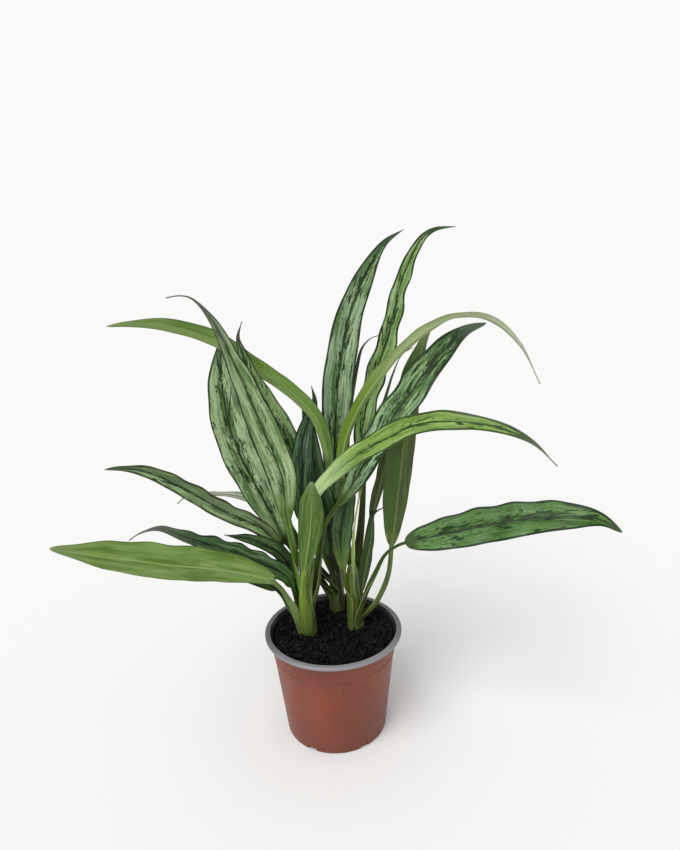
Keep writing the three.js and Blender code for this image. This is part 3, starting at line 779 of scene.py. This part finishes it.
def leafLine(form, shoot):  # the middle line from the sheath's foot to the blade's tip, and how it faces
    curve, run = routeCurve(form["route"])
    foot, _, axis = ends(shoot)
    stalk, length = form["stalk"], run[-1]
    tail = min(curve[0][2] - form["sheathFoot"], form["sheathTail"])
    even = np.linspace(0, 1, form["bladeRings"] + 1)
    crowded = (1 - np.cos(math.pi * even)) / 2
    distance = np.concatenate([
        np.linspace(-tail, 0, form["tailRings"], endpoint=False),
        np.linspace(0, stalk, form["stalkRings"], endpoint=False),
        stalk + (length - stalk) * (even + crowded) / 2,
    ])

    def onRoute(places):
        inside = np.maximum(places, 0)
        points = np.stack([np.interp(inside, run, curve[:, side]) for side in range(3)], -1)
        return points + np.minimum(places, 0)[:, None] * axis

    def fromShoot(point):
        return point - (foot + axis * (point[2] - foot[2]) / axis[2])

    gathered = smooth(0, -form["gathering"], distance)[:, None]
    centre = onRoute(distance) - fromShoot(curve[0]) * gathered
    share, stepBelow, stepAbove = form["lineStep"]
    step = np.where(distance < stalk * share, stepBelow, stepAbove)
    forward = unit(onRoute(np.minimum(distance + step, length)) - onRoute(distance - step))
    t = np.clip((distance - stalk) / (length - stalk), 0, 1)[:, None]
    faces = unit(np.array(form["facing"], float))
    up = between(faces[0], faces[-1], t)
    up = unit(up - forward * np.sum(up * forward, axis=1, keepdims=True))

    # at the shoot a sheath opens inwards, towards the shoot's axis
    outward = fromShoot(onRoute(np.array([form["backAt"]]))[0])
    inward = -unit(outward - axis * np.dot(outward, axis))
    start = form["tailRings"]
    turn = math.atan2(np.dot(np.cross(up[start], inward), forward[start]), np.dot(up[start], inward))
    most = math.radians(form["sheathTurn"])
    low, high = (stalk * share for share in form["turnSpan"])
    turn = max(-most, min(most, turn)) * (1 - smooth(low, high, distance))
    up = turnAbout(up, forward, turn)
    return distance, t, centre, np.cross(forward, up), up, length - stalk


def bladeOutline(form, t):
    taper, fullness = form["taper"], form["fullness"]
    widest = fullness / (fullness + taper)
    least = 1e-6
    rise = (np.maximum(t, least) / widest) ** fullness
    fall = (np.maximum(1 - t, least) / (1 - widest)) ** taper
    return rise * fall * (1 - form["dripNarrowing"] * smooth(form["dripStart"], form["dripEnd"], t))


def bladeSurface(form, t, u, half, swing, lengthwise, away, phase):
    soft = form["foldSoftness"]
    crease = (np.sqrt(u**2 + soft**2) - soft) / (math.sqrt(1 + soft**2) - soft)
    surface = crease * (form["fold"] * half + form["wave"] * swing)
    surface = surface + form["camber"] * half * np.sin(math.pi * np.abs(u)) * (1 - t)

    # dents between the side veins
    driftLength, driftSize = form["quiltDrift"]
    drift = np.sin(lengthwise / driftLength + phase[0]) * driftSize
    veins = fullTurn * (lengthwise - form["quiltLean"] * away) / form["quiltEvery"]
    quilt = np.sin(veins + drift + np.where(u < 0, 0, form["quiltShift"]))
    surface = surface + form["quilt"] * quilt * np.sin(math.pi * np.abs(u)) ** form["quiltFullness"]

    short, long = form["frillLengths"]
    frill = np.sin(lengthwise / short + phase[1] * np.sign(u))
    frill = frill + np.sin(lengthwise / long + phase[2] + np.sign(u))
    return surface + form["frill"] * frill * np.abs(u) ** 3 * np.sin(math.pi * t)


def buildLeaf(name, leaf, shoot, layer, seed):
    form = {**leafForm, **leaf}
    phase = np.random.default_rng(seed).uniform(0, 6.28, 4)
    distance, t, centre, side, up, bladeLength = leafLine(form, shoot)
    stalk, columns = form["stalk"], form["columns"]
    radius = form["stalkRadius"] * (1 - form["stalkThinning"] * np.clip(distance / stalk, 0, 1)[:, None])
    blade = smooth(0, form["opening"], t)
    half = np.hypot(form["width"] / 2 * bladeOutline(form, t), radius * (1 - t))
    half = np.maximum(half, form["tipHalfWidth"])

    # the two margins' waves, of which the right one's run ahead
    u = np.linspace(-1, 1, columns)[None, :]
    swing = np.sin(form["waves"] * fullTurn * t + np.where(u < 0, 0, form["waveShift"])) * np.sin(math.pi * t)
    half = half * (1 + form["scallop"] * swing)
    across = half * between(np.sin(math.pi / 2 * u), u, blade)
    away = np.abs(across)

    # upper and under side of stalk and blade
    surface = bladeSurface(form, t, u, half, swing, t * bladeLength, away, phase)
    channelDepth, channelWidth = form["stalkChannel"]
    stalkUnder = -np.cos(math.pi / 2 * u)
    stalkTop = -form["stalkCrown"] * stalkUnder - channelDepth * np.exp(-((u / channelWidth) ** 2))
    thickness = between(form["middleThickness"], form["edgeThickness"], np.abs(u) ** form["thicknessFall"])
    ridge = form["ribDepth"] * (1 - t) * np.exp(-(away / form["ribWidth"]) ** 2)
    groove = form["groove"] * np.exp(-(away / form["grooveWidth"]) ** 2) * (1 - t)
    top = between(radius * stalkTop, surface - groove, blade)
    under = between(radius * stalkUnder, surface - thickness - ridge, blade)

    # sheath: a channel that wraps the shoot at its foot and closes up into the round stalk
    foot, shootTop, axis = ends(shoot)
    rise = np.clip(distance / max(form["sheathShare"] * stalk, form["leastSheath"]), 0, 1)[:, None]
    height = np.clip((centre[:, 2:] - foot[2]) / (shootTop[2] - foot[2]), 0, 1)
    hugging = between(shootForm["footRadius"], shootForm["topRadius"], height)
    hugging = hugging + shootForm["sheathStep"] * layer + form["standOff"]
    girth = between(radius, hugging, (1 - rise) ** form["sheathTaper"])
    wrap = np.radians(between(90, form["sheathWrap"], (1 - rise) ** 2)) * u
    onAxis = foot + (centre[:, 2:] - foot[2]) / axis[2] * axis
    off = np.linalg.norm((centre - onAxis)[:, :2], axis=1, keepdims=True)
    inset = off + girth - np.maximum(hugging, off + radius)
    centre = centre + up * inset * (1 - smooth(form["insetFrom"], 1.0, rise))
    hollow = girth - form["sheathWall"] * (1 - form["sheathThinning"] * np.abs(u))
    channel = 1 - smooth(form["channelFrom"], 1.0, rise)
    isStalk = (distance < stalk)[:, None]
    topAcross = np.where(isStalk, between(across, hollow * np.sin(wrap), channel), across)
    top = np.where(isStalk, between(top, -hollow * np.cos(wrap), channel), top)
    underAcross = np.where(isStalk, girth * np.sin(wrap), across)
    under = np.where(isStalk, -girth * np.cos(wrap), under)

    def place(wide, high):
        return centre[:, None, :] + side[:, None, :] * wide[..., None] + up[:, None, :] * high[..., None]

    def bothSides(values):
        full = np.broadcast_to(values, (len(distance), columns))
        return np.concatenate([full, full[:, ::-1]], axis=1)

    points = np.concatenate([place(topAcross, top), place(underAcross, under)[:, ::-1]], axis=1)
    rings, count = points.shape[:2]
    mesh = newMesh(name, points, tubeFaces(rings, count))
    isUpper = np.arange(count) < columns - 1
    slots = np.tile(np.where(isUpper, 0, 1), rings - 1).tolist() + [1, 0]
    mesh.polygons.foreach_set("material_index", slots)
    store(mesh, "place", bothSides(u), bothSides(t), bothSides(np.where(isStalk, -channel, blade)))
    store(mesh, "lengths", bothSides(np.where(isStalk, girth * wrap, across)),
          bothSides(distance[:, None] - stalk), bothSides(half - away))
    sharpenMargins(mesh, count, columns)
    look = {"stalk": shoot["colour"], "stalkShade": shoot["shade"], **leaf["look"]}
    look = {part: tone(*value) if isinstance(value, tuple) else value for part, value in look.items()}
    mesh.materials.append(upperSide(name + "Upper", look, seed))
    mesh.materials.append(underSide(name + "Under", look, seed))
    return mesh


def store(mesh, name, *values):
    layer = mesh.attributes.new(name, "FLOAT_VECTOR", "POINT")
    layer.data.foreach_set("vector", np.stack(values, -1).astype(np.float32).ravel())


def sharpenMargins(mesh, count, columns):
    corners = np.zeros(len(mesh.edges) * 2, np.int32)
    mesh.edges.foreach_get("vertices", corners)
    column = corners.reshape(-1, 2) % count
    onMargin = np.isin(column, (0, columns - 1, columns, count - 1)).all(axis=1)
    mesh.edges.foreach_set("use_edge_sharp", onMargin & (column[:, 0] == column[:, 1]))


def buildShoot(name, shoot, seed):
    form = shootForm
    foot, top, _ = ends(shoot)
    k = np.linspace(0, 1, form["rings"])[:, None]
    angle = np.linspace(0, fullTurn, form["sides"], endpoint=False)[None, :]
    closing = np.maximum(k - form["closeFrom"], 0) / (1 - form["closeFrom"])
    close = np.sqrt(np.clip(1 - closing**2, form["closeLeast"], 1))
    ridge = 1 + form["ridgeDepth"] * np.cos(form["ridges"] * angle + form["twist"] * k)
    radius = between(form["footRadius"], form["topRadius"], k) * ridge * close
    flat = np.stack([radius * np.cos(angle), radius * np.sin(angle), np.zeros_like(radius)], -1)
    points = between(foot, top, k)[:, None, :] + flat
    mesh = newMesh(name, points, tubeFaces(form["rings"], form["sides"]))

    paint = Paint(name + "Skin", form["roughness"])
    x, y, z = paint.parts(paint.spot())
    scaleX, scaleY, scaleZ = form["streakScale"]
    along = paint.timesPlus(z, scaleZ, float(seed))
    place = paint.vector(paint.times(x, scaleX), paint.times(y, scaleY), along)
    streaks = paint.mottle(place, 1.0, form["streakDetail"])
    tones = (tone(*shoot[part]) for part in ("colour", "shade"))
    paint.colour = paint.blend(paint.ease(streaks, *form["streak"]), *tones)
    paint.coat(z, *form["footTint"])
    mesh.materials.append(paint.finish(streaks, *form["bump"]))
    return mesh


seed = 0
for side, shoot in shoots.items():
    title = "shoot" + side.capitalize()
    finishPiece(title, buildShoot(title, shoot, shootForm["firstSeed"] + seed), "shoot_" + side)
    carried = [node for node in leaves if node.startswith("leaf_" + side)]
    carried.sort(key=lambda node: -leaves[node]["route"][0][2])  # the lowest leaf's sheath is the outermost
    for layer, node in enumerate(carried):
        seed += 1
        words = node.split("_")
        title = words[0] + "".join(word.capitalize() for word in words[1:])
        finishPiece(title, buildLeaf(title, leaves[node], shoot, layer, seed), node)
    print("shoot", side, "made with", len(carried), "leaves")

# potting soil: a lumpy top with loose crumbs

soil = {
    "level": 86.5,
    "relief": 1.3,
    "radius": 52.6,
    "middle": 0.002,  # the innermost ring, as a share of the radius
    "rings": 90,
    "sides": 220,
    "floorRadius": 42.7,
    "floorLevel": 2.3,
    "grain": 2.3,
    "grainPerMm": 0.22,
    "grainSlice": 3.1,
    "grainNoise": (0.6, 2.0, 5),
    "crumbs": 1300,
    "crumbSeed": 7,
    "crumbSizes": (0.5, 3.6),
    "crumbRise": 0.3,
    "crumbWidths": (0.7, 1.3),
    "crumbHeights": (0.5, 0.9),
    "crumbDents": (0.8, 1.15),
    "wallClearance": 1.5,  # crumb sizes
    "roughness": 0.7,
    "specular": 0.12,
    "coarse": (260.0, 4.0, 0.6),  # noises: turns per metre, detail and roughness
    "lumps": (120.0, 2.5, 0.6),
    "fine": (420.0, 3.0, 0.7),
    "colours": (tone(5, 5, 5), tone(13, 12, 12)),
    "colourEdge": (0.4, 0.66),
    # painted highlight: soft grey highlights on the lumps
    "lumpHighlight": (tone(30, 31, 34), 0.54, 0.64, 0.5),  # tints: from and to values of their noise, and cover
    # pale crumbs, and painted highlights on the lumps
    "speckAndHighlight": (tone(78, 80, 84), 0.60, 0.68, 0.55),
    "bump": (0.9, 0.0012),
}


def soilHeight(x, y):  # as in the solid
    broad = np.sin(0.21 * x + 1.3) * np.cos(0.26 * y)
    small = np.sin(0.55 * y - 0.4 * x)
    return soil["level"] + soil["relief"] * (2 * broad + small) / 3


def grainHeight(x, y):
    height = np.zeros_like(x)
    for index in np.ndindex(x.shape):
        spot = Vector((x[index] * soil["grainPerMm"], y[index] * soil["grainPerMm"], soil["grainSlice"]))
        height[index] = noise.fractal(spot, *soil["grainNoise"])
    return soil["grain"] * height


def makeCrumb(ball, chance):  # a small bent ball, half sunk into the top
    share = math.sqrt(chance.random())
    turn = chance.uniform(0, fullTurn)
    low, high = soil["crumbSizes"]
    size = low + (high - low) * chance.random() ** 2
    reach = (soil["radius"] - soil["wallClearance"] * size) * share
    x, y = reach * math.cos(turn), reach * math.sin(turn)
    z = float(soilHeight(x, y)) + soil["crumbRise"] * size
    spans = (soil["crumbWidths"], soil["crumbWidths"], soil["crumbHeights"])
    squash = [chance.uniform(*span) for span in spans]
    spin = Matrix.Rotation(chance.uniform(0, 6.28), 3, "Z") @ Matrix.Rotation(chance.uniform(0, 6.28), 3, "X")
    crumb = []
    for spot in ball:
        bent = Vector(a * b for a, b in zip(spot, squash)) * size * chance.uniform(*soil["crumbDents"])
        crumb.append(Vector((x, y, z)) + spin @ bent)
    return np.array(crumb)


def buildSoil():
    angle = np.linspace(0, fullTurn, soil["sides"], endpoint=False)[None, :]
    radius = soil["radius"] * np.linspace(1, soil["middle"], soil["rings"])[:, None]
    x, y = radius * np.cos(angle), radius * np.sin(angle)
    z = soilHeight(x, y) + grainHeight(x, y)
    wallX, wallY = soil["floorRadius"] * np.cos(angle), soil["floorRadius"] * np.sin(angle)
    floorRing = np.stack([wallX, wallY, np.full_like(wallX, soil["floorLevel"])], -1)
    points = np.concatenate([floorRing, np.stack([x, y, z], -1)], axis=0)
    faces = tubeFaces(*points.shape[:2])
    stacks = [points.reshape(-1, 3)]

    builder = bmesh.new()
    bmesh.ops.create_icosphere(builder, subdivisions=1, radius=1.0)
    ball = [corner.co.copy() for corner in builder.verts]
    ballFaces = np.array([[corner.index for corner in face.verts] for face in builder.faces])
    builder.free()
    chance = random.Random(soil["crumbSeed"])
    for i in range(soil["crumbs"]):
        stacks.append(makeCrumb(ball, chance))
        faces += (ballFaces + len(stacks[0]) + i * len(ball)).tolist()
    mesh = newMesh("soil", np.vstack(stacks), faces)
    mesh.materials.append(soilSkin())
    return mesh


def soilSkin():
    paint = Paint("soilSkin", soil["roughness"], soil["specular"])
    coarse, lumps, fine = (paint.mottle(paint.spot(), *soil[kind]) for kind in ("coarse", "lumps", "fine"))
    paint.colour = paint.blend(paint.ease(coarse, *soil["colourEdge"]), *soil["colours"])
    # painted highlight on the soil's lumps
    paint.coat(lumps, *soil["lumpHighlight"])
    # pale crumbs and painted highlights
    paint.coat(fine, *soil["speckAndHighlight"])
    return paint.finish(paint.calc("ADD", coarse, fine), *soil["bump"])


finishPiece("pottingSoil", buildSoil(), "soil")
print("soil made")

# pot: a turned shell in two colours, with drainage notches in its foot

pot = {
    "height": 93.0,
    "rimRadius": 60.0,
    "neckRadius": 55.0,
    "mouthRadius": 55.4,
    "baseRadius": 44.4,
    "wall": 1.4,
    "floor": 2.0,
    "lipHeight": 3.0,
    "lipRound": 1.0,
    "neckRound": 0.6,
    "mouthRound": 0.7,
    "shoulder": (1.2, 10.0),  # how far in, and down, the inside's first slope goes
    "footChamfer": 1.5,
    "ringDrop": 16.0,
    "ringHeight": 1.2,
    "ringProud": 0.35,
    "sides": 240,
    "sharpAngle": 40,
    "notches": 6,
    "notchWidth": 8.0,
    "notchHeight": 3.0,
    "notchDepth": 4.0,
    # noises are in turns per metre, then detail and roughness; tints reach from and to values of a noise or,
    # in metres, of a height or depth, and then cover that much
    "clay": (tone(127, 56, 28), tone(113, 48, 24)),
    "clayNoise": (22.0, 3.0),
    "clayEdge": (0.35, 0.66),
    # painted shade: the clay grows darker towards the floor
    "clayLowShade": (tone(94, 44, 30), 0.045, 0.0, 0.35),
    # painted shade: a dark band on the clay just under the lip
    "clayShadeUnderLip": (tone(88, 50, 58), 0.0845, 0.0895, 0.55),
    "clayDustNoise": (160.0, 4.0, 0.65),
    "clayDust": (tone(186, 140, 118), 0.58, 0.74, 0.07),
    "clayRoughness": 0.34,
    "dustRoughness": 0.25,
    "clayGrainNoise": (700.0, 2.0),
    "clayBump": (0.15, 0.0002),
    # painted shade under the ring's step: its colour, span, where noise breaks it up, and cover
    "groove": tone(74, 30, 16),
    "ringShadeSpan": (0.0009, 0.0003),
    "ringShadeGaps": (0.35, 0.6),
    "ringShadeCover": 0.6,
    "lip": (tone(104, 101, 107), tone(88, 85, 91)),
    # painted highlight on the lip's front: its colour, its cover and the depths over which it comes in
    "lipHighlight": tone(176, 174, 178),
    "lipHighlightCover": 0.38,  # how strongly the painted highlight lightens the lip's front
    "lipHighlightSpan": (-0.015, -0.056),
    # the inside: partly its own dark plastic, partly painted shade inside the pot; the notches' cuts take it
    # as painted shade
    "inside": (tone(44, 41, 42), tone(34, 32, 33)),
    "greyNoise": (30.0, 3.0),
    "greyEdge": (0.35, 0.66),
    "greyDustNoise": (220.0, 4.0, 0.65),
    "greyDust": (0.56, 0.72, 0.3),
    "greyRoughness": 0.26,
    "greyBump": (0.15, 0.0003),
}
neck = pot["height"] - pot["lipHeight"]
ringTop = neck - pot["ringDrop"]
ringFoot = ringTop - pot["ringHeight"]


def arc(centreX, centreZ, radius, fromDegrees, toDegrees, steps):
    turns = np.radians(np.linspace(fromDegrees, toDegrees, steps))
    return [(centreX + radius * math.cos(a), centreZ + radius * math.sin(a)) for a in turns]


def wallAt(z, proud=0.0):
    share = (z - pot["footChamfer"]) / (neck - pot["footChamfer"])
    return between(pot["baseRadius"], pot["neckRadius"], share) + proud, z


def potProfile():  # (radius, height, colour: 0 the clay brown outside, 1 the grey lip, 2 the dark inside)
    foot, lip, height = pot["footChamfer"], pot["lipRound"], pot["height"]
    neckRound, mouthRound = pot["neckRound"], pot["mouthRound"]
    axisRadius = 0.001
    brown = [(axisRadius, 0.0), (pot["baseRadius"] - foot, 0.0)]
    brown += arc(pot["baseRadius"] - foot, foot, foot, -80, -5, 6)
    brown += [wallAt(z) for z in np.linspace(foot, ringFoot, 24)]
    for z in np.linspace(ringFoot, ringTop, 9)[1:-1]:
        swell = math.sin(math.pi * (ringTop - z) / pot["ringHeight"])
        brown.append(wallAt(z, pot["ringProud"] * swell))
    brown += [wallAt(z) for z in np.linspace(ringTop, neck - neckRound, 8)]
    brown += arc(pot["neckRadius"] + neckRound, neck - neckRound, neckRound, 180, 95, 5)
    grey = arc(pot["rimRadius"] - lip, neck + lip, lip, -90, 0, 6)
    grey += arc(pot["rimRadius"] - lip, height - lip, lip, 0, 90, 6)
    grey += arc(pot["mouthRadius"] + mouthRound, height - mouthRound, mouthRound, 90, 175, 5)
    inner = pot["neckRadius"] - pot["wall"]
    slopeIn, slopeDown = pot["shoulder"]
    inside = [(inner + neckRound / 2, neck + neckRound), (inner, neck), (inner - slopeIn, neck - slopeDown)]
    inside += [(pot["baseRadius"] - pot["wall"], pot["floor"]), (axisRadius, pot["floor"])]
    return [(*spot, colour) for colour, line in enumerate((brown, grey, inside)) for spot in line]


def buildPot():
    profile = potProfile()
    sides = pot["sides"]
    angle = np.linspace(0, fullTurn, sides, endpoint=False)
    rows = [np.stack([r * np.cos(angle), r * np.sin(angle), np.full(sides, z)], -1) for r, z, _ in profile]
    mesh = newMesh("pot", np.concatenate(rows), tubeFaces(len(profile), sides))
    colours = [colour for _, _, colour in profile[1:] for _ in range(sides)] + [0, 2]
    mesh.polygons.foreach_set("material_index", colours)
    mesh.materials.append(clayPlastic())
    mesh.materials.append(greyPlastic("greyLip", pot["lip"], pot["lipHighlightCover"]))
    mesh.materials.append(greyPlastic("darkInside", pot["inside"], 0.0))
    cutNotches(mesh)
    mesh.polygons.foreach_set("use_smooth", [True] * len(mesh.polygons))
    mesh.set_sharp_from_angle(angle=math.radians(pot["sharpAngle"]))
    return mesh


def cutNotches(mesh):
    builder = bmesh.new()
    out = Matrix.Translation((pot["baseRadius"] * mm, 0, 0))
    spans = (2 * pot["notchDepth"], pot["notchWidth"], 2 * pot["notchHeight"])
    size = Matrix.Diagonal((*(span * mm for span in spans), 1))
    for i in range(pot["notches"]):
        turn = Matrix.Rotation(fullTurn * i / pot["notches"], 4, "Z")
        bmesh.ops.create_cube(builder, size=1.0, matrix=turn @ out @ size)
    cutMesh = bpy.data.meshes.new("notches")
    builder.to_mesh(cutMesh)
    builder.free()
    for material in mesh.materials:
        cutMesh.materials.append(material)
    cutMesh.polygons.foreach_set("material_index", [2] * len(cutMesh.polygons))  # the cuts lie in shade
    body, tool = newObject("potBody", mesh), newObject("notchTool", cutMesh)
    cut = body.modifiers.new("cut", "BOOLEAN")
    cut.object = tool
    cut.operation = "DIFFERENCE"
    cut.solver = "EXACT"
    bpy.context.view_layer.update()
    result = bpy.data.meshes.new_from_object(body.evaluated_get(bpy.context.evaluated_depsgraph_get()))
    final = bmesh.new()
    final.from_mesh(result)
    final.to_mesh(mesh)
    final.free()
    for holder in (body, tool):
        bpy.data.objects.remove(holder)


def clayPlastic():
    paint = Paint("clayPlastic", pot["clayRoughness"])
    place = paint.spot()
    z = paint.parts(place)[2]
    broad = paint.mottle(place, *pot["clayNoise"])
    dust = paint.mottle(place, *pot["clayDustNoise"])
    paint.colour = paint.blend(paint.ease(broad, *pot["clayEdge"]), *pot["clay"])
    # painted shade, darker towards the floor
    paint.coat(z, *pot["clayLowShade"])
    # painted shade under the lip
    paint.coat(z, *pot["clayShadeUnderLip"])
    paint.coat(dust, *pot["clayDust"])

    # painted shade: a thin dark line under the ring's step, broken up in places by noise
    fromRing = paint.calc("ABSOLUTE", paint.minus(z, ringFoot * mm))
    ringShadeShare = paint.times(paint.ease(broad, *pot["ringShadeGaps"]), pot["ringShadeCover"])
    paint.coat(fromRing, pot["groove"], *pot["ringShadeSpan"], ringShadeShare)
    roughness = paint.timesPlus(dust, pot["dustRoughness"], pot["clayRoughness"])
    paint.feed(paint.shader.inputs["Roughness"], roughness)
    return paint.finish(paint.mottle(place, *pot["clayGrainNoise"]), *pot["clayBump"])


def greyPlastic(name, tones, highlightCover):
    paint = Paint(name, pot["greyRoughness"])
    place = paint.spot()
    dust = paint.mottle(place, *pot["greyDustNoise"])
    broad = paint.mottle(place, *pot["greyNoise"])
    paint.colour = paint.blend(paint.ease(broad, *pot["greyEdge"]), *tones)
    paint.coat(dust, tones[1], *pot["greyDust"])
    # painted highlight: the lip grows lighter towards its front
    paint.coat(paint.parts(place)[1], pot["lipHighlight"], *pot["lipHighlightSpan"], highlightCover)
    return paint.finish(dust, *pot["greyBump"])


finishPiece("nurseryPot", buildPot(), "pot")
print("pot made")

# floor, light and backdrop tone

studio = {
    "floorRadius": 30.0,
    "floorSides": 96,
    "floorColour": tone(236, 236, 235),
    "skyColour": (1.0, 1.0, 1.0, 1.0),
    "skyStrength": 0.66,
    "backdropStrength": 0.95,
    "lampStrength": 1.95,
    "lampAngle": 40.0,  # degrees: the larger, the softer the shadows
    "lampFrom": (-0.55, -0.75, 1.1),
}


def makeFloor():
    mesh = bpy.data.meshes.new("floor")
    builder = bmesh.new()
    sides, radius = studio["floorSides"], studio["floorRadius"]
    bmesh.ops.create_circle(builder, cap_ends=True, segments=sides, radius=radius)
    builder.to_mesh(mesh)
    builder.free()
    paint = Paint("paleFloor", 1.0, 0.0)
    paint.feed(paint.shader.inputs["Base Color"], studio["floorColour"])
    mesh.materials.append(paint.material)
    floor = newObject("floor", mesh)


def makeLight():
    lamp = bpy.data.lights.new("softLamp", "SUN")
    lamp.energy = studio["lampStrength"]
    lamp.angle = math.radians(studio["lampAngle"])
    holder = newObject("softLamp", lamp)
    holder.rotation_mode = "QUATERNION"
    holder.rotation_quaternion = Vector(studio["lampFrom"]).to_track_quat("Z", "Y")
    sky = bpy.data.worlds.new("paleSky")
    sky.use_nodes = True
    tree = sky.node_tree
    light, backdrop = tree.nodes["Background"], tree.nodes.new("ShaderNodeBackground")
    choice = tree.nodes.new("ShaderNodeMixShader")
    tree.links.new(tree.nodes.new("ShaderNodeLightPath").outputs["Is Camera Ray"], choice.inputs[0])
    strengths = (studio["skyStrength"], studio["backdropStrength"])
    for i, (background, strength) in enumerate(zip((light, backdrop), strengths)):
        background.inputs["Color"].default_value = studio["skyColour"]
        background.inputs["Strength"].default_value = strength
        tree.links.new(background.outputs[0], choice.inputs[1 + i])
    tree.links.new(choice.outputs[0], tree.nodes["World Output"].inputs["Surface"])
    bpy.context.scene.world = sky
    bpy.context.scene.view_settings.view_transform = "Standard"


makeFloor()
makeLight()
print("floor and light made")
